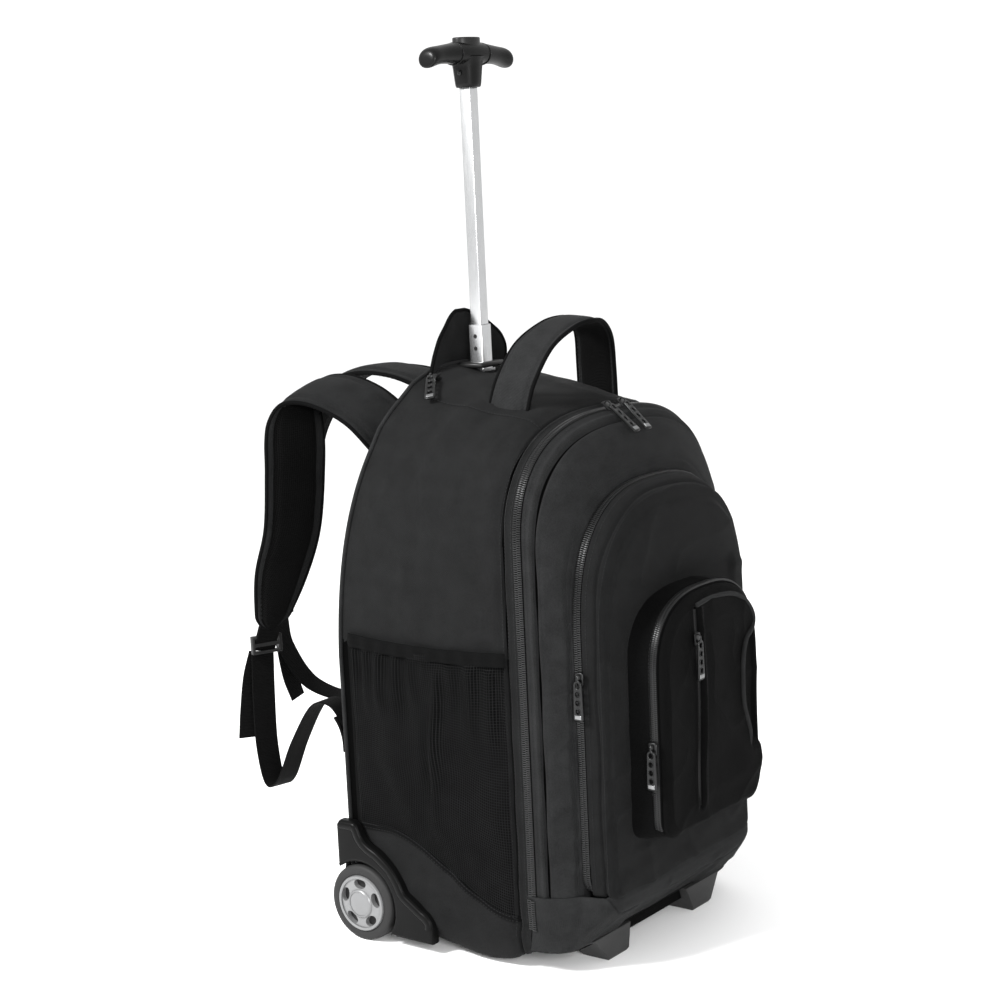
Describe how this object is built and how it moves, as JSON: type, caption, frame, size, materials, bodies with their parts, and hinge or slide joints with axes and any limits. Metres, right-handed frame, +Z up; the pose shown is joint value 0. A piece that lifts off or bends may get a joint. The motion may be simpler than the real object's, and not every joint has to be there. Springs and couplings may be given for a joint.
{
  "type": "rolling laptop backpack",
  "caption": "Soft rolling laptop case with wheels, telescoping T-handle pole, shoulder straps, arched zipped front panel, front pockets and net side pockets.",
  "frame": {"origin": "centre of the bounding box's footprint, on the floor that the wheels and foot stand on", "axes": "+Z up along the pole, -Y the way the bag's front faces, +X the bag's own right hand as it is seen from behind"},
  "size_m": [0.3432, 0.5476, 0.8665],
  "materials": {
    "fabric_black": "black twill polyester",
    "mesh_black": "black open net",
    "webbing_black": "black woven webbing",
    "plastic_black": "moulded black, satin gloss",
    "plastic_grey": "moulded dark grey",
    "rubber_black": "black tyre compound",
    "aluminium": "drawn, silver anodised",
    "hub_silver": "silver painted plastic",
    "steel": "zinc plated",
    "gunmetal": "gunmetal plated",
    "board_grey": "polyethylene board",
    "lining_grey": "foam-backed lining"
  },
  "bodies": {
    "bag": {"axle_carrier": "plastic_grey", "back_frame_board": "board_grey", "base_board": "board_grey", "front_base_band": "fabric_black", "front_foot": "plastic_grey", "grab_handle": "webbing_black", "hood_zip_slider": "gunmetal", "laptop_sleeve": "lining_grey", "lining_board": "board_grey", "main_shell": "fabric_black", "main_zip_rear_half": "gunmetal", "mesh_pocket_left": "mesh_black", "mesh_pocket_right": "mesh_black", "outer_tube": "aluminium", "pole_mouth": "plastic_black", "pole_socket": "plastic_grey", "shoulder_pad_left": "fabric_black", "shoulder_pad_right": "fabric_black", "strap_adjuster_left": "plastic_black", "strap_adjuster_right": "plastic_black", "strap_webbing_left": "webbing_black", "strap_webbing_right": "webbing_black", "wheel_axle": "steel", "wheel_guard_left": "plastic_black", "wheel_guard_right": "plastic_black"},
    "wheel_left": {"wheel_hub_left": "hub_silver", "tyre_left": "rubber_black", "wheel_bush_left": "plastic_grey", "hub_cap_left": "hub_silver"},
    "wheel_right": {"wheel_hub_right": "hub_silver", "tyre_right": "rubber_black", "wheel_bush_right": "plastic_grey", "hub_cap_right": "hub_silver"},
    "middle_pole": {"middle_tube": "aluminium", "middle_tube_plug": "plastic_grey"},
    "inner_pole": {"inner_tube": "aluminium", "inner_tube_plug": "plastic_grey", "grip": "plastic_black", "grip_screw": "steel"},
    "button": {"grip_button": "plastic_grey", "release_rod": "steel"},
    "hood": {"pole_hood": "fabric_black"},
    "front_panel": {"front_panel": "fabric_black", "main_zip_front_half": "gunmetal", "compartment_zip_rear_half": "gunmetal", "main_zip_left_slider": "gunmetal", "main_zip_right_slider": "gunmetal"},
    "front_compartment": {"front_compartment": "fabric_black", "compartment_zip_front_half": "gunmetal", "small_pouch": "fabric_black", "pouch_zip_chain": "gunmetal"},
    "compartment_slider": {"compartment_zip_slider": "gunmetal"},
    "pouch_slider": {"pouch_zip_slider": "gunmetal"},
    "slit_slider": {"slit_zip_slider": "gunmetal"},
    "main_left_pull": {"main_zip_left_pull": "gunmetal"},
    "main_right_pull": {"main_zip_right_pull": "gunmetal"},
    "compartment_pull": {"compartment_zip_pull": "gunmetal"},
    "pouch_pull": {"pouch_zip_pull": "gunmetal"},
    "slit_pull": {"slit_zip_pull": "gunmetal"},
    "hood_pull": {"hood_zip_pull": "gunmetal"}
  },
  "joints": [
    {"name": "left_wheel_spin", "type": "hinge", "parent": "bag", "child": "wheel_left", "pos_m": [-0.15575, 0.0428, 0.038], "axis": [1, 0, 0], "continuous": true},
    {"name": "right_wheel_spin", "type": "hinge", "parent": "bag", "child": "wheel_right", "pos_m": [0.15575, 0.0428, 0.038], "axis": [1, 0, 0], "continuous": true},
    {"name": "middle_tube_slide", "type": "slide", "parent": "bag", "child": "middle_pole", "axis": [0, 0, 1], "range_m": [-0.028, 0.15]},
    {"name": "inner_tube_slide", "type": "slide", "parent": "middle_pole", "child": "inner_pole", "axis": [0, 0, 1], "range_m": [-0.226, 0]},
    {"name": "button_press", "type": "slide", "parent": "inner_pole", "child": "button", "axis": [0, 0, 1], "range_m": [-0.004, 0], "stiffness_N_per_m": 400, "springref_m": 0.0005},
    {"name": "hood_fold", "type": "hinge", "parent": "bag", "child": "hood", "pos_m": [0, 0.0188, 0.5495], "axis": [1, 0, 0], "range_deg": [-60, 0]},
    {"name": "front_panel_open", "type": "hinge", "parent": "bag", "child": "front_panel", "pos_m": [0, -0.1977, 0.0725], "axis": [1, 0, 0], "range_deg": [0, 45]},
    {"name": "front_compartment_open", "type": "hinge", "parent": "front_panel", "child": "front_compartment", "pos_m": [0, -0.2082, 0.076], "axis": [1, 0, 0], "range_deg": [0, 25]},
    {"name": "compartment_zip_travel", "type": "slide", "parent": "front_compartment", "child": "compartment_slider", "axis": [0, 0, 1], "range_m": [-0.15, 0.02]},
    {"name": "pouch_zip_travel", "type": "slide", "parent": "front_compartment", "child": "pouch_slider", "axis": [0, 0, 1], "range_m": [-0.055, 0.045]},
    {"name": "slit_zip_travel", "type": "slide", "parent": "front_compartment", "child": "slit_slider", "axis": [0, 0, 1], "range_m": [-0.13, 0.015]},
    {"name": "main_left_pull_swing", "type": "hinge", "parent": "front_panel", "child": "main_left_pull", "pos_m": [-0.01296, -0.16635, 0.51802], "axis": [0.9968, 0.0599, 0.0527], "range_deg": [-100, 0]},
    {"name": "main_right_pull_swing", "type": "hinge", "parent": "front_panel", "child": "main_right_pull", "pos_m": [0.01196, -0.16635, 0.51802], "axis": [0.9968, -0.0599, -0.0527], "range_deg": [-100, 0]},
    {"name": "compartment_pull_swing", "type": "hinge", "parent": "compartment_slider", "child": "compartment_pull", "pos_m": [-0.136, -0.2047, 0.2845], "axis": [0, -1, 0], "range_deg": [-100, 0]},
    {"name": "pouch_pull_swing", "type": "hinge", "parent": "pouch_slider", "child": "pouch_pull", "pos_m": [-0.0934, -0.2532, 0.2145], "axis": [0, -1, 0], "range_deg": [-100, 0]},
    {"name": "slit_pull_swing", "type": "hinge", "parent": "slit_slider", "child": "slit_pull", "pos_m": [-0.036, -0.2716, 0.3075], "axis": [1, 0, 0], "range_deg": [-100, 0]},
    {"name": "hood_pull_swing", "type": "hinge", "parent": "bag", "child": "hood_pull", "pos_m": [-0.06843, 0.00213, 0.54583], "axis": [0.4871, -0.8538, 0.1839], "range_deg": [-80, 0]}
  ]
}
